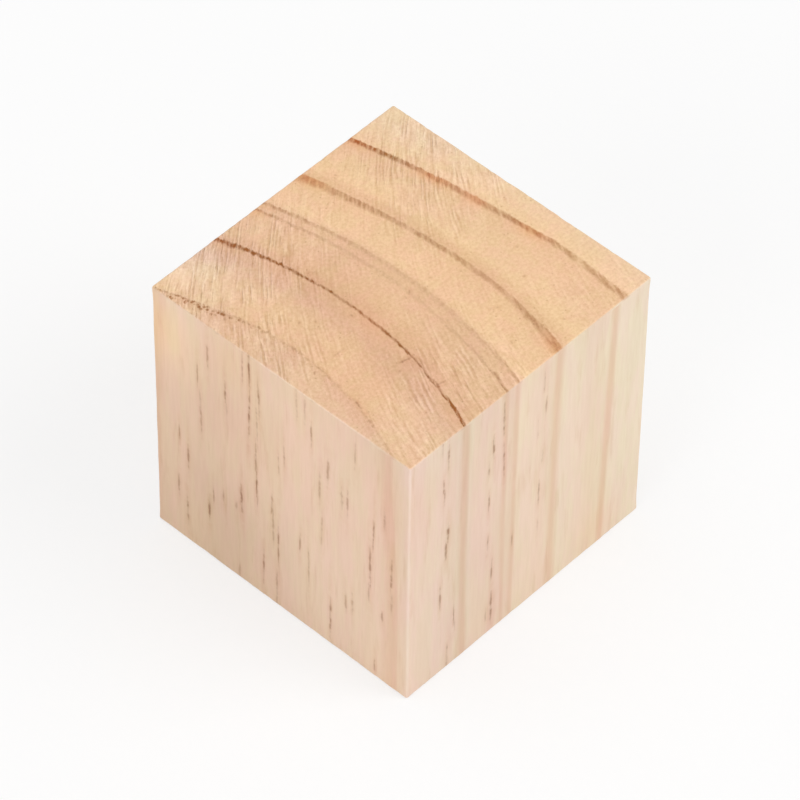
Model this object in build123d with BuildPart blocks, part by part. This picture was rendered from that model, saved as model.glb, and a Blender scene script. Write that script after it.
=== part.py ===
# A plain solid pine block: a square bar, planed and sanded on its four long sides, with its edges rounded,
# then sawn off square across the grain and lightly broken along both sawn ends.
# The grain runs up Z, so the top and the base are end grain and the four upright sides are long grain.
# The origin is the centre of the base. Lengths are in millimetres.
from build123d import *

import os

block_width = 50.0  # X, across the bar
block_depth = 50.0  # Y, across the bar
block_length = 50.0  # Z, with the grain, from one saw cut to the next
long_edge_round = 0.6  # radius of the four edges that run with the grain
end_edge_ease = 0.4  # radius of the edges round both sawn ends

os.makedirs("parts", exist_ok=True)

with BuildPart() as block:
    # The bar's section, rounded at its corners, stands up along the grain.
    with BuildSketch(Plane.XY):
        RectangleRounded(block_width, block_depth, long_edge_round)
    extrude(amount=block_length)
    # Sanding breaks the sharp rim that the saw leaves round each end.
    sawn_ends = block.faces().filter_by(Axis.Z)
    fillet(sawn_ends.edges(), radius=end_edge_ease)

block.part.label = "wood_block"
export_step(block.part, "parts/wood_block.step")
print("wood_block volume", round(block.part.volume, 1), "mm3, size", block.part.bounding_box().size)
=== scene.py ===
# A planed pine block, sawn off square across the grain, on a pale studio floor.
# Unless a note says otherwise, sizes are in millimetres and colours are screen values from 0 to 255.
# The scene itself is in metres.
import math

import bpy
import numpy as np
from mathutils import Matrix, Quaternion, Vector


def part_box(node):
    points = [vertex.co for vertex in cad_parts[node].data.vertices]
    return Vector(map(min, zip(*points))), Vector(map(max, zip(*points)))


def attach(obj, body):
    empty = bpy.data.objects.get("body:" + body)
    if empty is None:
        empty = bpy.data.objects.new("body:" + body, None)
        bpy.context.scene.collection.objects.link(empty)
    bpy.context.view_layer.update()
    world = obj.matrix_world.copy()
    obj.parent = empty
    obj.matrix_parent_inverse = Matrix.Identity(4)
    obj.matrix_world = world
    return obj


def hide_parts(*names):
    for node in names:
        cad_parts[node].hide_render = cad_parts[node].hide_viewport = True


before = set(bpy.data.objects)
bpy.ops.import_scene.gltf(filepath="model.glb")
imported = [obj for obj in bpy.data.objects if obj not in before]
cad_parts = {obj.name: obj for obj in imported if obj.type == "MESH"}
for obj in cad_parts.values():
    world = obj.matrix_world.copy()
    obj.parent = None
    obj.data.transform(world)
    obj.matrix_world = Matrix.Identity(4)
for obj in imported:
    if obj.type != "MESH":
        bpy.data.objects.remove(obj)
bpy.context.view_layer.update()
mm = 0.001

blockLow, blockHigh = (np.array(corner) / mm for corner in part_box("wood_block"))
blockHalf = (blockHigh - blockLow) / 2
blockMiddle = (blockHigh + blockLow) / 2
print("frame loaded, block", blockHalf * 2, "mm")


# Growth rings

growthRings = {
    "heartwardSide": -25.0,  # x where the ring depth starts, on the side nearest the heart
    "apexY": 1.5,  # y where the inner rings bulge furthest
    "apexDrift": 9.5,  # how far that place moves towards -y by the outer rings
    "driftFrom": 20.0,  # ring depth where the move starts
    "driftOver": 26.0,
    "innerRadius": 46.0,  # ring radius at depth 0
    "radiusGain": 1.35,  # growth in radius for each mm of depth
    "leanInner": 1.2,  # slant over the block's length of a ring at depth 0
    "leanGain": 0.055,  # how much that falls for each mm of depth
    "wander": 0.35,  # slow wobble of the rings along the grain
    "wobbleCell": (9, 9, 24),  # how far the wobble goes before it turns, along x, y and z
    "deepest": 60.0,  # ring depth at the right end of the colour ramps
    "driftMost": 1.3,  # share of driftOver past which the place moves no further
    "rounds": 8,  # times the depth is worked out again, each closer than the last
}

# Each random pattern keeps its own seed, so every run gives the same block.
seeds = {"wobble": 11, "edgeCoarse": 21, "edgeFine": 22, "hollow": 31, "ripple": 32, "torn": 33, "marks": 41}

# at: ring depth of the line's outer side. dotted: how far the line breaks into dots on the sawn ends.
# side: the soft band on the long sides, as how far before the line it starts, its strength, and how far
# past the line it fades.
# end: (y, width, strength, shift) of the line at places across the sawn ends. A shift above 0 moves it
# away from the heart.
latewood = [
    dict(at=4.9, dotted=0.9, side=(1.3, 0.62, 0.25),
         end=[(-25, 0.5, 0.12, 0.25), (-13, 0.6, 0.34, 0.4), (-7, 0.6, 0.2, 0.45), (2, 0.6, 0.24, 0.5),
              (6, 0.6, 0.3, 0.5), (10, 0.75, 0.6, 0.35), (13, 1.3, 0.76, 0.0), (25, 2.0, 0.74, 0.15)]),
    dict(at=16.8, dotted=0.15, side=(1.7, 1.0, 0.8),
         end=[(-25, 0.45, 1.2, -0.38), (-20, 0.45, 1.15, -0.3), (-15, 0.43, 0.78, -0.2),
              (-6, 0.5, 0.86, 0.08), (2, 0.55, 0.78, 0.08), (14, 0.6, 1.0, 0.22), (20, 0.85, 1.0, 0.3),
              (25, 1.0, 1.0, 0.33)]),
    dict(at=24.4, dotted=0.3, side=(0.9, 0.6, 0.5),
         end=[(-25, 0.5, 0.7, 0.0), (-18, 0.5, 0.32, 0.0), (-8, 0.8, 0.15, -0.1), (0, 0.8, 0.16, 0.2),
              (12, 0.75, 0.25, 0.1), (20, 0.6, 0.38, 0.15), (25, 0.5, 0.72, 0.18)]),
    dict(at=26.3, dotted=0.3, side=(1.0, 0.7, 0.5),
         end=[(-25, 0.6, 0.45, 0.25), (-12, 1.0, 0.2, 0.2), (5, 1.0, 0.2, 0.15), (12, 0.9, 0.33, 0.05),
              (25, 0.75, 0.52, 0.0)]),
    dict(at=34.1, dotted=0.15, side=(1.4, 0.88, 1.3),
         end=[(-25, 1.6, 0.45, 0.19), (-16, 1.15, 0.57, 0.2), (-10, 1.0, 0.38, 0.3), (-4, 1.1, 0.46, 0.12),
              (2, 1.0, 0.56, -0.05), (8, 1.05, 0.36, -0.25), (13, 1.45, 0.6, -0.24), (20, 1.7, 0.48, 0.0),
              (25, 2.2, 0.45, 0.3)]),
    dict(at=44.3, dotted=0.15, side=(1.5, 1.0, 0.8),
         end=[(-25, 1.3, 0.54, 1.9), (-16, 1.35, 0.47, 1.78), (-10, 1.2, 0.58, 1.5), (-4, 1.1, 0.66, 0.95),
              (0, 1.35, 0.52, 0.85), (5, 1.4, 0.5, 0.67), (10, 1.3, 0.6, 0.82), (15, 1.15, 0.78, 0.95),
              (20, 1.3, 0.82, 1.14), (25, 1.1, 1.0, 1.38)]),
]


def smoothStep(value, low, high):
    # 0 below low, 1 above high, and three t squared less two t cubed between them.
    t = np.clip((value - low) / (high - low), 0, 1)
    return t * t * (3 - 2 * t)


def softNoise(points, cell, seed):
    # Random numbers from 0 to 1 at the corners of box-shaped cells, blended smoothly across each cell.
    size = 64
    shift = 1000.0  # keeps every place above 0
    lattice = np.random.default_rng(seed).random((size, size, size))
    scaled = points / np.asarray(cell) + shift
    base = np.floor(scaled).astype(int)
    part = scaled - base
    part = part * part * (3 - 2 * part)
    total = np.zeros(len(points))
    for corner in np.ndindex(2, 2, 2):
        weight = np.prod(np.where(np.array(corner) == 1, part, 1 - part), axis=1)
        index = (base + corner) % size
        total += weight * lattice[index[:, 0], index[:, 1], index[:, 2]]
    return total


def ringDepth(points):
    # Depth q solves q = (x - x0) + (y - apex(q))^2 / (2 radius(q)): a family of arcs that open out
    # away from the heart. A slant along z and a slow wobble are taken off at the end.
    rings = growthRings
    fromSide = points[:, 0] - rings["heartwardSide"]
    depth = fromSide
    for _ in range(rings["rounds"]):
        drift = np.clip((depth - rings["driftFrom"]) / rings["driftOver"], 0, rings["driftMost"]) ** 2
        apex = rings["apexY"] - rings["apexDrift"] * drift
        radius = rings["innerRadius"] + rings["radiusGain"] * np.maximum(depth, 0)
        depth = fromSide + (points[:, 1] - apex) ** 2 / (2 * radius)
    down = (blockHigh[2] - points[:, 2]) / (blockHigh[2] - blockLow[2])
    slant = (rings["leanInner"] - rings["leanGain"] * depth) * down
    wobble = (softNoise(points, rings["wobbleCell"], seeds["wobble"]) - 0.5) * 2
    return depth - slant - wobble * rings["wander"] * down ** 0.5


# Block shape

blockShape = {
    "acrossSteps": 176,  # grid steps across the grain
    "alongSteps": 48,  # grid steps along the grain
    "edgeSteps": 7,  # of those, the steps in each edge band
    "edgeBand": 0.9,  # width of the band whose steps make the rounded edge
    "longEdgeRound": 0.6,  # radius of the four edges that run with the grain
    "endEdgeEase": 0.4,  # radius round both sawn ends
    "easeFades": 3.0,  # distance from an end over which one radius becomes the other
    "edgeUneven": 0.3,  # share by which a radius strays as the sanding hand moved
    "nibble": 0.12,  # deepest fibre lost from the rim of a sawn end
    "latewoodProud": 0.025,  # latewood left standing above the softer wood
    "sideHollow": 0.03,  # slow unevenness of the planed sides
    "endHollow": 0.035,  # the same on the sawn ends
    "bladeRadius": 105.0,  # radius of the saw blade whose arcs cross the ends
    "bladeY": -61.0,  # y of the blade's centre
    "bladeRipple": 0.02,  # height of the slow ripple that the blade leaves
    "latewoodFull": 0.4,  # share of its side band's lead over which latewood keeps its full height
    "latewoodFall": 0.4,  # width over which it drops at most
    "endLean": (0.35, 0.9),  # lean towards an end where the end's wear starts, and where it is full
    "rimLean": 0.6,  # lean half way round the rim of an end, where most fibre is lost
    "rimSpread": 0.4,
    "tornShare": (0.55, 0.95),  # noise where fibres start to be lost, and where the most are
    # sizes of the cells of the noise in each of these
    "edgeCoarse": 7.0,
    "edgeFine": 2.2,
    "hollowCell": (11, 11, 26),
    "rippleCell": (1.3, 14, 60),  # across the saw's arcs, along them and up the block
    "tornCell": (0.8, 0.8, 2.5),
    "mergeSteps": 10000.0,  # to a mm: points that meet are equal when rounded to these
}


def gridStations(half, steps):
    # Places from -half to half: short even steps in each edge band, longer even steps between them.
    shape = blockShape
    band, count = shape["edgeBand"], shape["edgeSteps"]
    outer = np.linspace(0, band, count + 1)[:-1]
    inner = np.linspace(band - half, half - band, steps - 2 * count + 1)
    return np.concatenate([outer - half, inner, half - outer[::-1]])


def sharpBlock():
    # Six flat grids, point (a, b) of each at station a along one axis and station b along the next.
    # Grids that meet share the stations on their common edge, so equal points become one.
    shape = blockShape
    steps = [shape["acrossSteps"], shape["acrossSteps"], shape["alongSteps"]]
    stations = [gridStations(blockHalf[axis], steps[axis]) for axis in range(3)]
    gridPoints = []
    gridQuads = []
    used = 0
    for axis in range(3):
        first, second = (axis + 1) % 3, (axis + 2) % 3
        rows, columns = len(stations[first]), len(stations[second])
        number = np.arange(rows * columns).reshape(rows, columns) + used
        quads = np.stack([number[:-1, :-1], number[1:, :-1], number[1:, 1:], number[:-1, 1:]], -1)
        for side in (1, -1):
            points = np.zeros((rows, columns, 3))
            points[..., first] = stations[first][:, None]
            points[..., second] = stations[second][None, :]
            points[..., axis] = side * blockHalf[axis]
            gridPoints.append(points.reshape(-1, 3))
            turned = quads if side == 1 else quads[..., ::-1]  # keeps every face pointing outwards
            gridQuads.append(turned.reshape(-1, 4) + (0 if side == 1 else rows * columns))
        used += 2 * rows * columns
    allPoints = np.concatenate(gridPoints)
    key = np.round(allPoints * shape["mergeSteps"]).astype(np.int64)
    _, keep, shared = np.unique(key, axis=0, return_index=True, return_inverse=True)
    return allPoints[keep], shared.reshape(-1)[np.concatenate(gridQuads)]


def sawPlace(points):
    # Across the saw's arcs, x + sqrt(R^2 - (y - yc)^2), which is the same all along one tooth's mark, then
    # the way along the arc, R * asin((y - yc) / R), then up the block.
    shape = blockShape
    radius = shape["bladeRadius"]
    fromCentre = points[:, 1] - shape["bladeY"]
    across = points[:, 0] + np.sqrt(radius ** 2 - fromCentre ** 2)
    return np.stack([across, radius * np.arcsin(fromCentre / radius), points[:, 2]], -1)


def easedBlock(sharp):
    # Rolls a ball of the edge radius inside the sharp block: its core is the point held inside the
    # block less the radius, and the eased point lies on the ball, core + radius * direction.
    shape = blockShape
    fromEnd = blockHalf[2] - np.abs(sharp[:, 2])
    along = smoothStep(fromEnd, shape["endEdgeEase"], shape["easeFades"])
    radius = shape["endEdgeEase"] + (shape["longEdgeRound"] - shape["endEdgeEase"]) * along
    coarse = softNoise(sharp, shape["edgeCoarse"], seeds["edgeCoarse"])
    stray = coarse + softNoise(sharp, shape["edgeFine"], seeds["edgeFine"]) - 1
    radius = (radius * (1 + shape["edgeUneven"] * stray))[:, None]
    core = np.clip(sharp, radius - blockHalf, blockHalf - radius)
    direction = sharp - core
    direction /= np.linalg.norm(direction, axis=1, keepdims=True)
    return core + radius * direction, direction


def latewoodShare(depth):
    # Straight lines between heights: up from the start of each band, level as far as its line, then down.
    full, fall = blockShape["latewoodFull"], blockShape["latewoodFall"]
    stops = [(0.0, 0.0)]
    for ring in latewood:
        lead, strength, tail = ring["side"]
        stops += [(ring["at"] - lead, 0.0), (ring["at"] - full * lead, strength), (ring["at"], strength),
                  (ring["at"] + min(tail, fall), 0.0)]
    places, heights = zip(*stops)
    return np.interp(depth, places, heights)


def wornBlock(eased, direction, placed):
    # Everything here is wood lost, so the block stays inside its full size. The depth is the slow
    # hollows, plus what softer wood loses beside latewood, plus saw ripple and nibbled rims on the ends.
    shape = blockShape
    lean = np.abs(direction[:, 2])
    endShare = smoothStep(lean, *shape["endLean"])
    hollow = shape["sideHollow"] + (shape["endHollow"] - shape["sideHollow"]) * endShare
    lost = hollow * softNoise(placed, shape["hollowCell"], seeds["hollow"])
    lost += shape["latewoodProud"] * (1 - latewoodShare(ringDepth(placed)))
    ripple = softNoise(sawPlace(placed), shape["rippleCell"], seeds["ripple"])
    lost += shape["bladeRipple"] * endShare * ripple
    rim = np.clip(1 - np.abs(lean - shape["rimLean"]) / shape["rimSpread"], 0, 1)
    torn = smoothStep(softNoise(placed, shape["tornCell"], seeds["torn"]), *shape["tornShare"])
    lost += shape["nibble"] * rim * torn
    return eased - direction * lost[:, None], endShare


sharp, quads = sharpBlock()
eased, direction = easedBlock(sharp)
woodPoints, endShare = wornBlock(eased, direction, eased + blockMiddle)
woodPoints = woodPoints + blockMiddle

blockMesh = bpy.data.meshes.new("pine_block")
blockMesh.vertices.add(len(woodPoints))
blockMesh.vertices.foreach_set("co", (woodPoints * mm).astype(np.float32).ravel())
blockMesh.loops.add(quads.size)
blockMesh.loops.foreach_set("vertex_index", quads.astype(np.int32).ravel())
blockMesh.polygons.add(len(quads))
blockMesh.polygons.foreach_set("loop_start", np.arange(0, quads.size, 4, dtype=np.int32))
blockMesh.polygons.foreach_set("use_smooth", np.ones(len(quads), bool))
blockMesh.update(calc_edges=True)
blockMesh.validate()
pineBlock = bpy.data.objects.new("pine_block", blockMesh)
bpy.context.scene.collection.objects.link(pineBlock)
print("block shaped,", len(woodPoints), "points,", len(quads) * 2, "triangles")


# Marks in the wood

woodMarks = {
    # Resin canals on the long sides, each (across, up, half length, strength). Across starts at the left
    # edge of the side as one faces it.
    "front": [
        (6.6, 48.9, 1.0, 0.7), (7.9, 46.4, 2.0, 0.7), (7.0, 40.4, 1.0, 0.8), (7.2, 38.6, 1.2, 0.65),
        (8.1, 29.8, 1.4, 0.9), (7.7, 26.4, 1.4, 0.75), (6.7, 17.0, 1.7, 0.7), (9.7, 10.7, 1.6, 0.75),
        (9.9, 8.2, 1.0, 0.5), (8.4, 2.4, 1.7, 0.65), (17.3, 40.4, 1.5, 0.85), (16.4, 36.2, 1.2, 0.6),
        (16.6, 29.4, 1.4, 0.75), (16.6, 20.0, 1.2, 0.7), (17.6, 13.4, 1.6, 0.7), (17.7, 5.4, 2.3, 0.8),
        (16.6, 4.4, 1.0, 0.4), (19.3, 44.6, 2.2, 0.7), (19.5, 36.2, 2.2, 0.7), (21.8, 17.0, 1.0, 0.5),
        (27.6, 45.8, 1.3, 0.5), (28.2, 40.2, 1.6, 0.5), (26.6, 36.6, 1.2, 0.3), (27.8, 30.0, 1.0, 0.4),
        (27.3, 22.8, 1.8, 0.6), (27.4, 15.4, 1.2, 0.4),
    ],
    "left": [
        (19.2, 47.3, 2.8, 1.0), (17.9, 46.2, 2.2, 0.5), (21.0, 42.3, 2.4, 0.7), (19.1, 37.7, 3.4, 0.95),
        (20.6, 36.8, 3.4, 0.45), (20.3, 28.9, 2.6, 0.6), (20.4, 24.2, 2.6, 0.95), (20.5, 20.6, 1.6, 0.4),
        (11.0, 43.5, 2.0, 0.6), (8.9, 38.6, 1.7, 0.6), (9.4, 30.8, 2.8, 0.6), (14.4, 38.4, 1.6, 0.8),
        (14.6, 35.4, 1.6, 0.3), (4.9, 22.8, 1.4, 0.6), (6.6, 18.8, 1.9, 0.7), (4.5, 11.3, 1.4, 0.6),
        (6.2, 7.1, 2.1, 0.75), (10.7, 10.4, 1.7, 0.9), (11.6, 14.4, 1.4, 0.5), (13.6, 15.8, 1.0, 0.5),
        (17.3, 17.9, 2.0, 0.9), (16.2, 15.6, 0.8, 0.4), (21.6, 6.5, 2.4, 0.8), (23.4, 21.5, 1.6, 0.9),
        (23.6, 17.2, 3.0, 0.5), (24.6, 14.0, 3.0, 0.75), (24.2, 3.4, 2.8, 0.6), (24.8, 31.7, 1.8, 0.5),
        (25.9, 34.4, 1.6, 0.5), (31.2, 42.6, 1.9, 0.7), (28.4, 46.3, 2.2, 0.4), (30.0, 46.5, 2.0, 0.4),
        (32.8, 33.0, 2.2, 0.5), (33.2, 23.6, 2.8, 0.4), (34.4, 37.5, 2.2, 0.6), (37.1, 33.4, 1.5, 0.8),
        (38.2, 33.6, 2.0, 0.55), (39.6, 45.0, 2.2, 0.35), (28.9, 17.3, 1.3, 0.7), (30.6, 14.2, 2.9, 0.55),
        (34.9, 6.0, 2.9, 0.8), (37.9, 12.0, 1.5, 0.5), (39.2, 12.6, 1.3, 0.6), (43.2, 31.0, 2.4, 0.8),
        (42.6, 23.3, 3.1, 0.75), (42.4, 17.8, 1.6, 0.4), (45.3, 35.6, 1.5, 0.5), (46.7, 24.2, 2.6, 0.8),
        (46.8, 19.0, 1.8, 0.4), (45.0, 14.6, 0.9, 0.6), (43.6, 2.4, 1.1, 0.6), (16.7, 1.8, 1.4, 0.4),
    ],
    "backColumns": (5.5, 9.6, 21.0, 31.5, 40.5),  # where canals gather on the back, as they do in front
    "backCount": 26,
    "farCount": 22,  # canals scattered over the side furthest from the heart
    # Nicks on the top, each (x, y, degrees from x, half length, strength)
    "top": [
        (-10.6, -10.6, -15, 0.9, 0.6), (-10.3, -17.1, -8, 1.3, 0.35), (-15.7, -2.9, -3, 1.6, 0.25),
        (-21.1, -11.4, 75, 1.1, 0.7), (-20.0, -3.2, 90, 0.8, 0.5), (-21.1, -3.2, 40, 0.4, 0.55),
        (-19.8, 2.3, 60, 0.5, 0.6), (-12.7, -11.6, 40, 0.35, 0.4), (-4.0, 9.2, 40, 0.6, 0.45),
        (-0.8, -2.2, 45, 0.45, 0.4), (-0.7, -3.8, 45, 0.4, 0.35), (5.6, -13.1, 0, 0.25, 0.35),
        (4.9, -12.6, 0, 0.25, 0.3), (12.7, -11.8, 30, 0.3, 0.35), (-14.8, -16.6, 50, 0.8, 0.4),
    ],
    "endCount": 26,  # small pits scattered over each sawn end
    "halfWidth": 0.21,
    "sideWidths": (0.75, 1.25),  # least and most share of the half width that a canal has
    "endWidths": (0.7, 1.1),  # the same for a nick or a pit
    "pitMargin": 1.5,  # nearest that a pit's middle lies to the long sides
    "pitLengths": (0.15, 0.4),
    "pitStrengths": (0.15, 0.45),
    "columnSpread": 0.7,  # how far the back's canals stray from their columns
    "farAcross": (2, 48),
    "scatterUp": (3, 47),  # heights of the canals of the back and the far side
    "scatterShortest": 0.8,
    "backLongest": 1.9,
    "farLongest": 2.6,
    "scatterStrengths": (0.4, 0.9),
    "sideStretch": 1.4,  # how much longer the canals are drawn than listed
    "sideLean": 0.03,  # most that a canal leans, as a share of its length
}


def sideMarks(dice, corner, across, dashes):
    # Middles, directions and (half width, half length, strength) of the canals on one long side.
    settings = woodMarks
    middles = np.column_stack([np.array(corner) + dashes[:, :1] * np.array(across), dashes[:, 1]])
    lean = dice.uniform(-1, 1, (len(dashes), 1)) * settings["sideLean"]
    directions = np.column_stack([lean * np.array(across), np.ones(len(dashes))])
    widths = settings["halfWidth"] * dice.uniform(*settings["sideWidths"], len(dashes))
    lengths = dashes[:, 2] * settings["sideStretch"]
    return middles, directions, np.column_stack([widths, lengths, dashes[:, 3]])


def endMarks(dice, level, nicks):
    # The same for the nicks on one sawn end, with small pits scattered between them.
    settings = woodMarks
    count = settings["endCount"]
    edge = blockHalf[0] - settings["pitMargin"]
    pits = np.column_stack([dice.uniform(-edge, edge, (count, 2)), dice.uniform(0, 180, count),
                            dice.uniform(*settings["pitLengths"], count),
                            dice.uniform(*settings["pitStrengths"], count)])
    nicks = np.concatenate([pits, nicks])
    turn = np.radians(nicks[:, 2])
    middles = np.column_stack([nicks[:, :2], np.full(len(nicks), level)])
    directions = np.column_stack([np.cos(turn), np.sin(turn), np.zeros(len(nicks))])
    widths = settings["halfWidth"] * dice.uniform(*settings["endWidths"], len(nicks))
    return middles, directions, np.column_stack([widths, nicks[:, 3:]])


def scatteredSide(dice, across, count, longest):
    # Canals of random height and length at the given places across a side.
    settings = woodMarks
    return np.column_stack([across, dice.uniform(*settings["scatterUp"], count),
                            dice.uniform(settings["scatterShortest"], longest, count),
                            dice.uniform(*settings["scatterStrengths"], count)])


def markTable():
    # Every mark's middle, direction and sizes. Places across a side run from its left edge.
    settings = woodMarks
    dice = np.random.default_rng(seeds["marks"])
    backCount, farCount = settings["backCount"], settings["farCount"]
    columns = dice.choice(np.array(settings["backColumns"]), backCount)
    backAcross = columns + dice.normal(0, settings["columnSpread"], backCount)
    back = scatteredSide(dice, backAcross, backCount, settings["backLongest"])
    farAcross = dice.uniform(*settings["farAcross"], farCount)
    far = scatteredSide(dice, farAcross, farCount, settings["farLongest"])
    groups = [sideMarks(dice, (blockLow[0], blockLow[1]), (1, 0), np.array(settings["front"])),
              sideMarks(dice, (blockLow[0], blockHigh[1]), (0, -1), np.array(settings["left"])),
              sideMarks(dice, (blockHigh[0], blockHigh[1]), (-1, 0), back),
              sideMarks(dice, (blockHigh[0], blockLow[1]), (0, 1), far),
              endMarks(dice, blockHigh[2], np.array(settings["top"])),
              endMarks(dice, blockLow[2], np.zeros((0, 5)))]
    return [np.concatenate(parts) for parts in zip(*groups)]


def nearestMark(centres, middles, directions, sizes):
    # For each face, the mark that it lies deepest in, or least far outside. A mark is a long round-ended
    # form: its measure is sqrt((across / half width)^2 + (along / half length)^2).
    best = np.full(len(centres), np.inf)
    chosen = np.zeros(len(centres), int)
    for number, (middle, direction, size) in enumerate(zip(middles, directions, sizes)):
        away = centres - middle
        along = away @ direction
        across = np.linalg.norm(away - along[:, None] * direction, axis=1)
        measure = np.hypot(across / size[0], along / size[1])
        nearer = measure < best
        best[nearer] = measure[nearer]
        chosen[nearer] = number
    return chosen


markMiddles, markDirections, markSizes = markTable()
faceCentres = woodPoints[quads].mean(axis=1)
chosenMark = nearestMark(faceCentres, markMiddles, markDirections, markSizes)
print("marks placed,", len(markMiddles))


# Values the pine's finish reads from the mesh

# Each list holds bells, (place, reach, strength). A bell's share is exp(-(distance / reach)^2).
sawEverywhere = 0.12
sawHeavy = [((-21, 16, 50), 13, 1.0), ((-7, 20, 50), 8, 0.8), ((22, 13, 50), 12, 0.9),
            ((-9, -19, 50), 11, 0.9), ((-22, -23, 50), 5, 0.6), ((11, 5, 50), 7, 0.35),
            ((-25, 2, 50), 8, 0.5), ((18, -22, 50), 7, 0.3), ((5, 8, 0), 20, 0.8)]
lineWarm = [((-13, 24, 50), 5, 0.35), ((-4.5, 25, 50), 2.5, 0.6), ((6, 24, 50), 3.5, 1.0),
            ((15, 24.5, 50), 4, 0.8), ((18, 10.5, 50), 3, 1.0), ((19.5, 3.5, 50), 2.5, 0.8),
            ((20, -6.5, 50), 2.7, 0.75), ((5, -24, 50), 3, 0.65), ((-25, 18, 50), 3.5, 0.3),
            ((-7, -2, 50), 3, 0.3), ((-13, -22, 50), 4, 0.2)]
# Where the edges are paler: partly sanded wear, partly a painted highlight, strongest along the top's -x
# edge.
paleEdgeWearAndHighlight = [((-25, -6, 50), 14, 0.85), ((-25, -25, 25), 25, 0.12)]
edgeEverywhere = 0.3
edgeTurn = (0.0, 0.25)  # turn away from an axis where the paler edge starts, and where it is full

# The same, with what red, green and blue are multiplied by in the middle of the bell
woodToneAndPaintedShade = [
    ((-21, 23, 50), 11, (1.025, 1.12, 1.21)), ((-22, -23, 50), 9, (0.99, 1.04, 1.08)),
    ((-25, 24, 46), 8, (1.04, 0.96, 0.83)), ((-25, 10, 50), 6, (0.99, 0.97, 0.93)),
    ((-25, 10, 45), 4.5, (0.98, 0.95, 0.90)), ((-25, -24, 44), 9, (0.99, 0.95, 0.92)),
    ((-25, 22, 28), 9, (0.975, 0.98, 0.96)), ((-25, 23, 40), 6, (1.055, 1.075, 1.0)),
    ((-17, -10, 50), 7, (0.965, 0.952, 0.93)), ((-25, 9, 34), 9, (0.925, 0.90, 0.87)),
    # The second bell on the next line, at (-25, 14, 0), is painted shade: it darkens the -x side towards the
    # bottom.
    ((-25, 9, 14), 10, (0.915, 0.895, 0.88)), ((-25, 14, 0), 23, (0.82, 0.815, 0.785)),
    ((-25, -10, 10), 18, (0.985, 1.012, 1.045)), ((22, -25, 8), 13, (0.97, 0.96, 0.945)),
    ((-6, -25, 32), 9, (1.03, 1.04, 1.05)), ((-4, -25, 44), 7, (1.02, 1.035, 1.025)),
    ((15, -25, 43), 6, (1.015, 1.04, 1.035)), ((16, -25, 4), 5, (1.0, 0.955, 0.93)),
    ((-20, 25, 54), 6, (1.0, 1.10, 1.25)), ((-3, -5, 50), 6, (1.03, 1.025, 1.025)),
    ((-15, -19, 50), 5, (1.01, 1.035, 1.045)), ((-18, 24, 50), 5, (1.02, 1.03, 1.035)),
    ((-25, -13, 37), 6, (1.0, 1.03, 1.045)),
]


def bellShare(points, place, reach):
    away = ((points - np.array(place)) ** 2).sum(axis=1)
    return np.exp(-away / reach ** 2)


def bellTotal(points, bells, start):
    total = np.full(len(points), start)
    for place, reach, strength in bells:
        total += strength * bellShare(points, place, reach)
    return np.clip(total, 0, 1)


# Multiplies the bells together: the wood's own tone, with painted shade low on the -x side.
def toneAndPaintedShadeTotal(points):
    total = np.ones((len(points), 3))
    for place, reach, tint in woodToneAndPaintedShade:
        total *= 1 - bellShare(points, place, reach)[:, None] * (1 - np.array(tint))
    return total


def nearestRing(points):
    # A ring is in charge of the wood up to half way between its own shade and the next ring's.
    finish = np.array([ring["at"] + ring["side"][2] for ring in latewood[:-1]])
    start = np.array([ring["at"] - ring["side"][0] for ring in latewood[1:]])
    return np.searchsorted((start + finish) / 2, ringDepth(points))


def ringValues(points):
    # For each face: its ring's depth, the (width, strength, dots) of the line on the ends, the side band.
    nearest = nearestRing(points)
    at = np.array([ring["at"] for ring in latewood])[nearest]
    band = np.array([ring["side"] for ring in latewood])[nearest]
    line = np.zeros((len(points), 3))
    onEnd = np.abs(points[:, 2] - blockMiddle[2]) > blockHalf[2] - blockShape["endEdgeEase"]
    for number, ring in enumerate(latewood):
        chosen = nearest == number
        y, width, strength, shift = np.array(ring["end"]).T
        line[chosen, 0] = np.interp(points[chosen, 1], y, width)
        line[chosen, 1] = np.interp(points[chosen, 1], y, strength)
        line[chosen, 2] = ring["dotted"]
        at[chosen & onEnd] += np.interp(points[chosen & onEnd, 1], y, shift)
    return at, line, band


def edgeWearAndHighlightShare(points, direction):
    # Nothing where the surface faces squarely along an axis, and the most half way round an edge. This share
    # paints the edges paler, as sanded wear with a painted highlight.
    turned = smoothStep(1 - np.abs(direction).max(axis=1), *edgeTurn)
    return turned * bellTotal(points, paleEdgeWearAndHighlight, edgeEverywhere)


def keepOnMesh(name, domain, values):
    kind = "FLOAT" if values.ndim == 1 else "FLOAT_VECTOR"
    layer = blockMesh.attributes.new(name, kind, domain)
    layer.data.foreach_set("value" if kind == "FLOAT" else "vector", values.astype(np.float32).ravel())


ringAt, ringLine, ringBand = ringValues(faceCentres)
keepOnMesh("ringDepth", "POINT", ringDepth(woodPoints))
keepOnMesh("sawPlace", "POINT", sawPlace(woodPoints))
keepOnMesh("sawStrength", "POINT", bellTotal(woodPoints, sawHeavy, sawEverywhere))
keepOnMesh("lineWarmth", "POINT", bellTotal(woodPoints, lineWarm, 0.0))
keepOnMesh("woodToneAndPaintedShade", "POINT", toneAndPaintedShadeTotal(woodPoints))
keepOnMesh("endShare", "POINT", endShare)
keepOnMesh("edgeWearAndHighlightShare", "POINT", edgeWearAndHighlightShare(woodPoints, direction))
keepOnMesh("ringAt", "FACE", ringAt)
keepOnMesh("ringLine", "FACE", ringLine)
keepOnMesh("ringBand", "FACE", ringBand)
keepOnMesh("markMiddle", "FACE", markMiddles[chosenMark])
keepOnMesh("markDirection", "FACE", markDirections[chosenMark])
keepOnMesh("markSize", "FACE", markSizes[chosenMark])


# Pine finish

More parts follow.
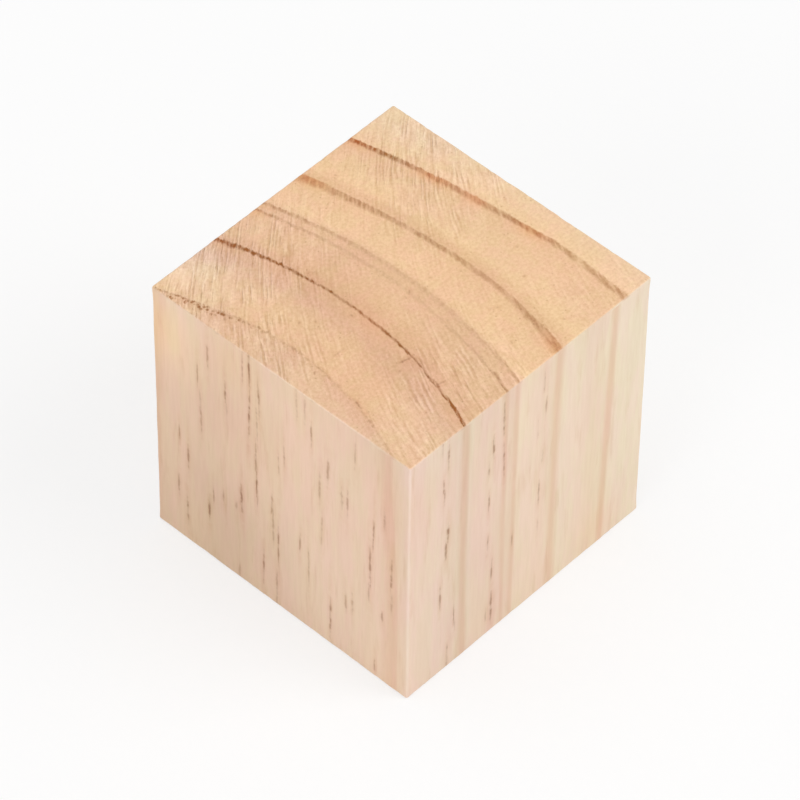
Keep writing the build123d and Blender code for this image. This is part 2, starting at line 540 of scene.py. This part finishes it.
pineLook = {
    # (ring depth, screen colour) on the sawn ends, heart side first
    "endTones": [
        (0, (231, 191, 158)), (3, (233, 193, 159)), (4.6, (229, 187, 153)), (5.6, (234, 192, 153)),
        (9.5, (237, 195, 156)), (12, (231, 188, 151)), (13.5, (227, 183, 149)), (17.2, (226, 180, 143)),
        (19.5, (231, 188, 149)), (22.5, (233, 191, 154)), (25.8, (230, 188, 151)), (27.4, (242, 202, 161)),
        (32, (237, 196, 155)), (34.8, (231, 189, 148)), (36.5, (242, 203, 161)), (39.5, (240, 201, 160)),
        (44.6, (235, 193, 154)), (45.6, (243, 204, 163)), (52, (239, 207, 171)),
    ],
    # the same on the long sides
    "sideTones": [
        (0, (243, 211, 184)), (3.8, (242, 209, 183)), (5.2, (240, 207, 181)), (6, (241, 212, 190)),
        (12, (238, 212, 190)), (14.4, (235, 208, 186)), (15.8, (233, 211, 187)), (17.2, (233, 212, 188)),
        (18.4, (236, 208, 186)), (22.6, (237, 209, 187)), (25.4, (235, 207, 184)), (27, (239, 215, 190)),
        (30, (238, 214, 189)), (32, (237, 212, 187)), (35.5, (239, 219, 194)), (38.5, (239, 217, 192)),
        (41.5, (237, 213, 187)), (44.6, (241, 222, 197)), (54, (241, 223, 200)),
    ],
    # From here to "edge", what red, green and blue are multiplied by
    "lineBrown": (0.38, 0.21, 0.05),  # a full latewood line on the ends
    "lineWarm": (0.51, 0.23, 0.09),  # the same where resin colours it
    "resinHaze": (0.94, 0.77, 0.61),
    "sideLine": (0.915, 0.795, 0.735),  # a full band on the sides
    "mark": (0.46, 0.34, 0.26),  # a resin canal or a nick
    "markStain": (0.935, 0.87, 0.82),  # wood that resin has soaked into beside a mark
    "pore": (0.84, 0.80, 0.75),
    "torn": (1.01, 1.03, 1.06),  # fibres torn by the saw are paler
    "streak": (0.94, 0.905, 0.86),
    "sawHollowAndPaintedShade": (0.865, 0.815, 0.745),  # the troughs and crests of the saw's marks: the torn wood's tone with painted shade in the troughs and a painted highlight on the crests
    "sawCrestAndPaintedHighlight": (1.125, 1.175, 1.245),
    "speckDark": (0.93, 0.89, 0.845),
    "speckPale": (1.048, 1.062, 1.075),
    "fibreDark": (0.978, 0.966, 0.952),
    "fibrePale": (1.015, 1.018, 1.022),
    "pinker": (1.014, 0.982, 1.012),
    "yellower": (0.992, 1.012, 0.972),
    "edge": (1.20, 1.32, 1.46),  # the palest edge, sanded wear with a painted highlight
    "sawStep": 0.9,  # mm from one of the saw's ridges to the next
    "sawWarp": 3.0,  # most turns by which those ridges are pushed out of step
    "sawRidge": 0.45,  # their size where the wood is fully torn
    "sawRough": 2.5,  # size of the coarser strokes there
    "fuzz": 0.42,  # mm of play that single cells give a ring's lines
    "wander": 0.6,  # mm of play that the slow wander gives them
    "comb": 0.95,  # mm that the saw drags them where the wood is fully torn
    "combLeast": 0.15,  # mm that it drags them anywhere on the ends
    "ragged": 1.5,  # how uneven the outline of a mark is
    "roughness": 0.62,
    "polish": 0.1,  # what latewood loses of it
    "endRoughness": 0.16,  # what sawn ends add to it
    "specular": 0.35,
    # heights in mm
    "sawHeight": 0.12,
    "speckleHeight": 0.035,
    "poreHeight": -0.03,
    "fibreHeight": 0.02,
    "markHeight": -0.08,
}

# How fine each pattern is: its stretch is features in each mm along x, y and z, or, for the first five,
# across the saw's arcs, along them and up the block. Detail is 2 and roughness 0.5 where not given.
pineGrain = {
    "sawComb": dict(stretch=(1.5, 0.4, 0.02), detail=3),
    "beads": dict(stretch=(1.4, 0.35, 0.02)),
    "ridgeWarp": dict(stretch=(0.3, 0.1, 0.02), detail=3),
    "strokes": dict(stretch=(0.8, 0.17, 0.03)),
    "roughCut": dict(stretch=(1.35, 0.34, 0.05), detail=3, roughness=0.62),
    "cellFuzz": dict(stretch=(2.6, 2.6, 0.05), detail=3),
    "slowWander": dict(stretch=(0.22, 0.22, 0.02)),
    "dots": dict(stretch=(1.65, 1.65, 0.1)),
    "endSpeckle": dict(stretch=(1.9, 1.9, 0.2), detail=4, roughness=0.65),
    "pores": dict(stretch=(1.1, 1.1, 0.02)),
    "poreGroups": dict(stretch=(0.4, 0.4, 0.02)),
    "sawPatches": dict(stretch=(0.28, 0.28, 0.05)),
    "fibres": dict(stretch=(1.9, 1.9, 0.16), detail=4, roughness=0.6),
    "streaks": dict(stretch=(0.9, 0.9, 0.1), detail=3, roughness=0.6),
    "raggedMarks": dict(stretch=(1.6, 1.6, 0.8), detail=3),
    "partedMarks": dict(stretch=(0.7, 0.7, 0.6), detail=2),
    "blotches": dict(stretch=(0.33, 0.33, 0.07), detail=3, roughness=0.6),
    "broadShade": dict(stretch=(0.09, 0.09, 0.022)),
}

# Where each pattern starts and where it is full, then what it gives at those two if not 0 and 1
pineRange = {
    "lineInner": (-1.05, -0.45),  # shares of the line's width
    "lineOuter": (0.21, -0.16),  # mm of ring depth past the line, as in the next two
    "dotsInside": (-0.1, -0.45, 0.7, 1.0),
    "haze": (-3.0, -0.3),
    "dotsApart": (0.30, 0.58, 0.0, -1.0),  # steps from the nearest dot's middle
    "beads": (0.36, 0.62, 0.5, 1.2),
    "strokes": (0.44, 0.62),
    "speckle": (0.3, 0.7),
    "pores": (0.2, 0.07),  # steps from the nearest pore's middle
    "poreGroups": (0.46, 0.62),
    "sawPatches": (0.34, 0.54, 0.5, 1.0),
    "bandInner": (-1.0, -0.2),  # shares of the band's lead
    "bandOuter": (1.0, -0.1),  # shares of its fade
    "fibres": (0.3, 0.7),
    "streaks": (0.54, 0.76),
    "partedMarks": (0.36, 0.58, 0.35, 1.0),
    "markCore": (1.5, 0.15),  # shares of the mark's own size
    "markStain": (4.0, 0.8),
    "blotches": (0.36, 0.64),
    "broadShade": (0.3, 0.7, 0.975, 1.02),
}


def screenColour(red, green, blue):
    # A screen value c from 0 to 1 becomes ((c + 0.055) / 1.055) ^ 2.4 as light.
    return tuple(((c / 255 + 0.055) / 1.055) ** 2.4 for c in (red, green, blue)) + (1.0,)


class NodeSheet:
    # Adds shader nodes to a material or sky, in columns from left to right, and hands back their sockets.
    perColumn = 8
    columnStep = 220
    rowStep = 260
    leftEdge = -4000

    def __init__(self, material):
        self.tree = material.node_tree
        self.placed = 0

    def add(self, kind, label, inputs=(), **settings):
        node = self.tree.nodes.new(kind)
        node.label = label
        column, row = divmod(self.placed, self.perColumn)
        node.location = (self.leftEdge + column * self.columnStep, -row * self.rowStep)
        self.placed += 1
        for name, value in settings.items():
            setattr(node, name, value)
        for socket, value in dict(inputs).items():
            self.fill(node.inputs[socket], value)
        return node

    def fill(self, socket, value):
        if isinstance(value, bpy.types.NodeSocket):
            self.tree.links.new(value, socket)
        else:
            socket.default_value = value

    def maths(self, kind, label, first, second=0.0, third=0.0):
        return self.add("ShaderNodeMath", label, {0: first, 1: second, 2: third}, operation=kind).outputs[0]

    def product(self, label, first, *others):
        for other in others:
            first = self.maths("MULTIPLY", label, first, other)
        return first

    def swing(self, label, noise, amount, base):
        # base plus or minus half the amount
        centred = self.maths("SUBTRACT", label, noise, 0.5)
        return self.maths("MULTIPLY_ADD", label, centred, amount, base)

    def vector(self, kind, label, first, second=(0, 0, 0)):
        node = self.add("ShaderNodeVectorMath", label, {0: first, 1: second}, operation=kind)
        return node.outputs["Value" if kind in ("LENGTH", "DOT_PRODUCT") else "Vector"]

    def scaled(self, label, direction, amount):
        node = self.add("ShaderNodeVectorMath", label, {0: direction, "Scale": amount}, operation="SCALE")
        return node.outputs["Vector"]

    def value(self, name):
        return self.add("ShaderNodeAttribute", name, attribute_name=name).outputs["Fac"]

    def triple(self, name):
        return self.add("ShaderNodeAttribute", name, attribute_name=name).outputs["Vector"]

    def parts(self, name):
        return self.add("ShaderNodeSeparateXYZ", name, {"Vector": self.triple(name)}).outputs

    def noise(self, name, place):
        # soft noise as fine as pineGrain says under this name
        grain = pineGrain[name]
        inputs = {"Vector": self.vector("MULTIPLY", name, place, grain["stretch"]), "Scale": 1.0,
                  "Detail": grain.get("detail", 2.0), "Roughness": grain.get("roughness", 0.5)}
        return self.add("ShaderNodeTexNoise", name, inputs).outputs["Fac"]

    def remap(self, label, value, low, high, toLow=0.0, toHigh=1.0):
        inputs = {"Value": value, "From Min": low, "From Max": high, "To Min": toLow, "To Max": toHigh}
        node = self.add("ShaderNodeMapRange", label, inputs, interpolation_type="SMOOTHSTEP")
        return node.outputs["Result"]

    def spread(self, name, value):
        # eased over the range that pineRange gives under this name
        return self.remap(name, value, *pineRange[name])

    def pattern(self, name, place):
        return self.spread(name, self.noise(name, place))

    def cells(self, name, place):
        # distance to the nearest of scattered points, in steps of their spacing
        inputs = {"Vector": self.vector("MULTIPLY", name, place, pineGrain[name]["stretch"]), "Scale": 1.0}
        return self.add("ShaderNodeTexVoronoi", name, inputs, feature="F1").outputs["Distance"]

    def blend(self, label, share, first, second, kind="MIX"):
        node = self.add("ShaderNodeMix", label, data_type="RGBA", blend_type=kind)
        given = {"Factor_Float": share, "A_Color": first, "B_Color": second}
        for socket in node.inputs:
            if socket.identifier in given:
                self.fill(socket, given[socket.identifier])
        return next(socket for socket in node.outputs if socket.identifier == "Result_Color")

    def tint(self, label, share, colour, factor):
        # colour times factor, by the share given
        factor = (*factor, 1) if isinstance(factor, tuple) else factor
        return self.blend(label, share, colour, factor, "MULTIPLY")

    def between(self, label, share, colour, low, high):
        # colour times low where share is 0, times high where it is 1
        return self.tint(label, 1.0, colour, self.blend(label, share, (*low, 1), (*high, 1)))

    def ramp(self, label, depth, tones):
        # tones are (ring depth, screen colour)
        deepest = growthRings["deepest"]
        along = self.maths("DIVIDE", label, depth, deepest)
        node = self.add("ShaderNodeValToRGB", label, {"Fac": along})
        elements = node.color_ramp.elements
        elements.remove(elements[1])
        for number, (place, colour) in enumerate(tones):
            element = elements[0] if number == 0 else elements.new(place / deepest)
            element.position = place / deepest
            element.color = screenColour(*colour)
        return node.outputs["Color"]


def wanderingDepth(sheet, place, ends):
    # The mesh's ring depth with the fuzz of single cells, which runs up the grain as the cells do, a slow
    # wander, and on the sawn ends the comb of fibres that the saw drags out of each line.
    look = pineLook
    fuzz = sheet.noise("cellFuzz", place)
    wander = sheet.noise("slowWander", place)
    comb = sheet.noise("sawComb", sheet.triple("sawPlace"))
    torn = sheet.value("sawStrength")
    combed = sheet.maths("MULTIPLY_ADD", "comb where torn", torn, look["comb"], look["combLeast"])
    combed = sheet.product("comb on the ends", ends, combed)
    depth = sheet.swing("depth with fuzz", fuzz, look["fuzz"], sheet.value("ringDepth"))
    depth = sheet.swing("depth with wander", wander, look["wander"], depth)
    return sheet.swing("depth with comb", comb, combed, depth)


def endLines(sheet, place, depth, colour):
    # Each line darkens up to its outer side and ends there within a few tenths of a mm. It comes and goes
    # along the saw's arcs and breaks into dots.
    look = pineLook
    width, strength, dotted = sheet.parts("ringLine")
    gap = sheet.maths("SUBTRACT", "from the ring", depth, sheet.value("ringAt"))
    inner = sheet.maths("DIVIDE", "share of the line", gap, width)
    inner = sheet.spread("lineInner", inner)
    outer = sheet.spread("lineOuter", gap)
    dots = sheet.cells("dots", place)
    dots = sheet.spread("dotsApart", dots)
    inside = sheet.spread("dotsInside", gap)
    dots = sheet.product("dots inside the line", dots, inside)
    broken = sheet.maths("MULTIPLY_ADD", "dotted line", dots, dotted, 1.0)
    beads = sheet.pattern("beads", sheet.triple("sawPlace"))
    line = sheet.product("line", inner, outer, strength, broken, beads)
    warmth = sheet.value("lineWarmth")
    haze = sheet.spread("haze", gap)
    haze = sheet.product("resin haze", haze, outer, warmth)
    colour = sheet.tint("resin haze on", haze, colour, look["resinHaze"])
    lineColour = sheet.blend("line colour", warmth, (*look["lineBrown"], 1), (*look["lineWarm"], 1))
    return sheet.tint("lines on the ends", line, colour, lineColour)


def sawRidges(sheet, torn):
    # Ridges at even steps across the saw's arcs, sin(2 pi (across / step + slow warp)), that come and go
    # along the arcs, over the coarser strokes of torn wood. Both fade where little is torn. 0.5 is flat.
    look = pineLook
    arcs = sheet.triple("sawPlace")
    across = sheet.add("ShaderNodeSeparateXYZ", "across the arcs", {"Vector": arcs}).outputs["X"]
    warp = sheet.noise("ridgeWarp", arcs)
    warp = sheet.product("warped", warp, look["sawWarp"])
    turns = sheet.maths("MULTIPLY_ADD", "turns", across, 1 / look["sawStep"], warp)
    ridge = sheet.maths("SINE", "ridge", sheet.product("angle", turns, 2 * math.pi))
    stroke = sheet.pattern("strokes", arcs)
    rough = sheet.noise("roughCut", arcs)
    roughSize = sheet.product("rough where torn", torn, look["sawRough"])
    cut = sheet.swing("rough part", rough, roughSize, 0.5)
    ridged = sheet.product("ridge size", stroke, torn, look["sawRidge"])
    return sheet.maths("MULTIPLY_ADD", "ridges and rough cut", ridge, ridged, cut)


def endPores(sheet, place):
    # Small dark pores, shown only where a slow noise gathers them.
    pore = sheet.cells("pores", place)
    pore = sheet.spread("pores", pore)
    grouped = sheet.pattern("poreGroups", place)
    return sheet.product("pores in groups", pore, grouped)


def endWood(sheet, place, depth):
    # Tones, then lines, fine speckle, pores and the saw's marks. Returns the colour and the height.
    look = pineLook
    colour = endLines(sheet, place, depth, sheet.ramp("tones on the ends", depth, look["endTones"]))
    speckle = sheet.noise("endSpeckle", place)
    speckled = sheet.spread("speckle", speckle)
    colour = sheet.between("speckled", speckled, colour, look["speckDark"], look["speckPale"])
    pore = endPores(sheet, place)
    colour = sheet.tint("pores shown", pore, colour, look["pore"])

    patches = sheet.pattern("sawPatches", place)
    torn = sheet.product("saw in patches", sheet.value("sawStrength"), patches)
    colour = sheet.tint("torn wood", torn, colour, look["torn"])
    saw = sawRidges(sheet, torn)
    # The saw's ridges darken the troughs and pale the crests: painted shade and painted highlight over the
    # relief, besides the torn wood's tone.
    colour = sheet.between("sawn", saw, colour, look["sawHollowAndPaintedShade"], look["sawCrestAndPaintedHighlight"])
    height = sheet.product("saw height", saw, look["sawHeight"])
    height = sheet.maths("MULTIPLY_ADD", "speckle height", speckle, look["speckleHeight"], height)
    return colour, sheet.maths("MULTIPLY_ADD", "pore height", pore, look["poreHeight"], height)


def sideBand(sheet, depth):
    # Up over the lead before the ring's line, then down over the fade past it.
    lead, strength, tail = sheet.parts("ringBand")
    gap = sheet.maths("SUBTRACT", "from the ring", depth, sheet.value("ringAt"))
    inner = sheet.maths("DIVIDE", "share of the band", gap, lead)
    inner = sheet.spread("bandInner", inner)
    outer = sheet.maths("DIVIDE", "share of the fade", gap, tail)
    outer = sheet.spread("bandOuter", outer)
    band = sheet.product("band", inner, outer)
    return band, sheet.product("band strength", band, strength)


def sideWood(sheet, place, depth):
    # Tones, then soft bands, fine fibres and darker streaks drawn out along the grain. Returns the colour,
    # the height and the band.
    look = pineLook
    colour = sheet.ramp("tones on the sides", depth, look["sideTones"])
    band, shown = sideBand(sheet, depth)
    colour = sheet.tint("bands on the sides", shown, colour, look["sideLine"])
    fibre = sheet.noise("fibres", place)
    fibred = sheet.spread("fibres", fibre)
    colour = sheet.between("fibred", fibred, colour, look["fibreDark"], look["fibrePale"])
    streak = sheet.pattern("streaks", place)
    colour = sheet.tint("streaked", streak, colour, look["streak"])
    return colour, sheet.product("fibre height", fibre, look["fibreHeight"]), band


def markShare(sheet, place):
    # How deep the place lies in its nearest mark: the measure falls to 0 in the middle of the mark.
    # Returns the mark itself and the wider stain round it.
    width, length, strength = sheet.parts("markSize")
    direction = sheet.triple("markDirection")
    away = sheet.vector("SUBTRACT", "from the mark", place, sheet.triple("markMiddle"))
    along = sheet.vector("DOT_PRODUCT", "along the mark", away, direction)
    across = sheet.scaled("run of the mark", direction, along)
    across = sheet.vector("SUBTRACT", "across the mark", away, across)
    across = sheet.vector("LENGTH", "distance across", across)
    across = sheet.maths("DIVIDE", "share of width", across, width)
    along = sheet.maths("DIVIDE", "share of length", along, length)
    shares = sheet.add("ShaderNodeCombineXYZ", "shares", {"X": across, "Y": along}).outputs[0]
    measure = sheet.vector("LENGTH", "measure", shares)
    ragged = sheet.noise("raggedMarks", place)
    measure = sheet.swing("ragged measure", ragged, pineLook["ragged"], measure)
    parted = sheet.pattern("partedMarks", place)
    strength = sheet.product("parted", parted, strength)
    core = sheet.spread("markCore", measure)
    stain = sheet.spread("markStain", measure)
    core = sheet.product("mark", core, strength)
    return core, sheet.product("stain", stain, strength)


def wornColourAndPaintedLight(sheet, place, colour, mark, stain):
    # Blotches, broad shade and the tone placed on the mesh, which holds painted shade low on the -x side,
    # then stains, marks and the paler edges, which are sanded wear with a painted highlight.
    look = pineLook
    hue = sheet.pattern("blotches", place)
    colour = sheet.between("pink or yellow", hue, colour, look["pinker"], look["yellower"])
    cloud = sheet.pattern("broadShade", place)
    colour = sheet.tint("broadly shaded", 1.0, colour, cloud)
    colour = sheet.tint("placed tone and painted shade", 1.0, colour, sheet.triple("woodToneAndPaintedShade"))
    colour = sheet.tint("stained", stain, colour, look["markStain"])
    colour = sheet.tint("marks", mark, colour, look["mark"])
    return sheet.tint("paler edges", sheet.value("edgeWearAndHighlightShare"), colour, look["edge"])


def makePine():
    look = pineLook
    material = bpy.data.materials.new("pine")
    material.use_nodes = True
    sheet = NodeSheet(material)
    shader = material.node_tree.nodes["Principled BSDF"]
    coordinates = sheet.add("ShaderNodeTexCoord", "place").outputs["Object"]
    place = sheet.vector("MULTIPLY", "place in mm", coordinates, (1 / mm, 1 / mm, 1 / mm))
    ends = sheet.value("endShare")
    sides = sheet.maths("SUBTRACT", "long grain", 1.0, ends)
    depth = wanderingDepth(sheet, place, ends)
    endColour, endHeight = endWood(sheet, place, depth)
    sideColour, sideHeight, band = sideWood(sheet, place, depth)
    mark, stain = markShare(sheet, place)
    colour = sheet.blend("ends or sides", ends, sideColour, endColour)
    sheet.fill(shader.inputs["Base Color"], wornColourAndPaintedLight(sheet, place, colour, mark, stain))

    # Latewood is denser and takes a slight polish. Sawn ends stay rough.
    polished = look["roughness"] - look["polish"]
    rough = sheet.remap("roughness by wood", band, 0.0, 1.0, look["roughness"], polished)
    rough = sheet.maths("MULTIPLY_ADD", "rougher ends", ends, look["endRoughness"], rough)
    sheet.fill(shader.inputs["Roughness"], rough)
    shader.inputs["Specular IOR Level"].default_value = look["specular"]

    height = sheet.product("height of the ends", endHeight, ends)
    height = sheet.maths("MULTIPLY_ADD", "height of the sides", sideHeight, sides, height)
    height = sheet.maths("MULTIPLY_ADD", "height of the marks", mark, look["markHeight"], height)
    bump = sheet.add("ShaderNodeBump", "grain relief", {"Strength": 1.0, "Distance": mm, "Height": height})
    sheet.fill(shader.inputs["Normal"], bump.outputs["Normal"])
    return material


blockMesh.materials.append(makePine())
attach(pineBlock, "root")
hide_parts("wood_block")
print("pine finished")


# Floor, light and camera

studio = {
    "floorHalf": 4.0,  # metres
    "floorWhite": 0.95,  # as light, from 0 to 1
    "floorRoughness": 0.9,
    "nearWhite": 0.64,  # share of plain white the camera sees in the floor beside the block
    "fadeFrom": 0.06,  # metres from the block where the floor starts to turn to plain white
    "fadeTo": 0.30,
    "sky": 0.55,  # its strength as light. It is plain white where the camera sees it
}

# where: direction from the block. far, size: metres. watts: power.
lamps = {
    "keyBox": dict(where=(0.55, -1.0, 1.15), far=1.6, size=1.1, watts=8.4),
    "topBox": dict(where=(-0.15, 0.25, 1.0), far=1.5, size=1.2, watts=4.0),
    "fillBox": dict(where=(-1.0, -0.2, 0.6), far=1.8, size=1.0, watts=5.8),
}

lens = {
    "azimuth": -47.53,  # degrees, 0 looks along +y
    "elevation": 48.04,
    "roll": 0.81,
    "away": 786.5,  # from the block's middle
    "focal": 245.4,
    "sensor": 36,
    "nearest": 0.01,  # metres
    "furthest": 50,
}


def seenShare(sheet):
    # 1 where the camera sees a surface, straight, mirrored or through glass, and 0 for all other light
    rays = sheet.add("ShaderNodeLightPath", "rays").outputs
    seen = sheet.maths("MAXIMUM", "seen or mirrored", rays["Is Camera Ray"], rays["Is Glossy Ray"])
    return sheet.maths("MAXIMUM", "or through glass", seen, rays["Is Transmission Ray"])


def makeFloor():
    # A matt floor that takes the block's shadow and turns to plain white further out
    half = studio["floorHalf"]
    corners = [(-half, -half, 0), (half, -half, 0), (half, half, 0), (-half, half, 0)]
    floorMesh = bpy.data.meshes.new("studio_floor")
    floorMesh.from_pydata(corners, [], [(0, 1, 2, 3)])
    floor = bpy.data.objects.new("studio_floor", floorMesh)
    bpy.context.scene.collection.objects.link(floor)
    material = bpy.data.materials.new("studio_white")
    material.use_nodes = True
    sheet = NodeSheet(material)
    tree = material.node_tree
    shader = tree.nodes["Principled BSDF"]
    shader.inputs["Base Color"].default_value = (*[studio["floorWhite"]] * 3, 1)
    shader.inputs["Roughness"].default_value = studio["floorRoughness"]
    shader.inputs["Specular IOR Level"].default_value = 0.0
    place = sheet.add("ShaderNodeTexCoord", "place").outputs["Object"]
    away = sheet.vector("LENGTH", "distance from the block", place)
    fade = (studio["fadeFrom"], studio["fadeTo"])
    share = sheet.remap("turn to white", away, *fade, studio["nearWhite"], 1.0)
    share = sheet.product("white share", share, seenShare(sheet))
    white = sheet.add("ShaderNodeEmission", "plain white", {"Strength": 1.0})
    mixed = sheet.add("ShaderNodeMixShader", "floor", {0: share, 1: shader.outputs[0], 2: white.outputs[0]})
    tree.links.new(mixed.outputs[0], tree.nodes["Material Output"].inputs["Surface"])
    floorMesh.materials.append(material)


def makeSky():
    world = bpy.data.worlds.new("studio_sky")
    world.use_nodes = True
    bpy.context.scene.world = world
    tree = world.node_tree
    sheet = NodeSheet(world)
    background = tree.nodes["Background"]
    background.inputs["Color"].default_value = (1, 1, 1, 1)
    inputs = {"Value": seenShare(sheet), "To Min": studio["sky"], "To Max": 1.0}
    strength = sheet.add("ShaderNodeMapRange", "white where seen", inputs)
    tree.links.new(strength.outputs["Result"], background.inputs["Strength"])


def makeLamps():
    target = Vector(blockMiddle * mm)
    for name, lamp in lamps.items():
        light = bpy.data.lights.new(name, "AREA")
        light.shape = "DISK"
        light.size = lamp["size"]
        light.energy = lamp["watts"]
        holder = bpy.data.objects.new(name, light)
        toward = Vector(lamp["where"]).normalized()
        holder.location = target + toward * lamp["far"]
        holder.rotation_euler = toward.to_track_quat("Z", "Y").to_euler()
        bpy.context.scene.collection.objects.link(holder)


def makeCamera():
    # Back from the block along (sin a cos e, -cos a cos e, sin e), then rolled about the line of sight.
    azimuth, elevation = math.radians(lens["azimuth"]), math.radians(lens["elevation"])
    level = math.cos(elevation)
    back = Vector((math.sin(azimuth) * level, -math.cos(azimuth) * level, math.sin(elevation)))
    data = bpy.data.cameras.new("camera")
    data.sensor_width = lens["sensor"]
    data.lens = lens["focal"]
    data.clip_start = lens["nearest"]
    data.clip_end = lens["furthest"]
    data.dof.use_dof = False
    camera = bpy.data.objects.new("camera", data)
    camera.location = Vector(blockMiddle * mm) + back * lens["away"] * mm
    camera.rotation_mode = "QUATERNION"
    roll = Quaternion((0, 0, 1), math.radians(lens["roll"]))
    camera.rotation_quaternion = (-back).to_track_quat("-Z", "Y") @ roll
    bpy.context.scene.collection.objects.link(camera)
    bpy.context.scene.camera = camera


makeFloor()
makeSky()
makeLamps()
makeCamera()
bpy.context.scene.view_settings.view_transform = "Standard"
print("studio ready")
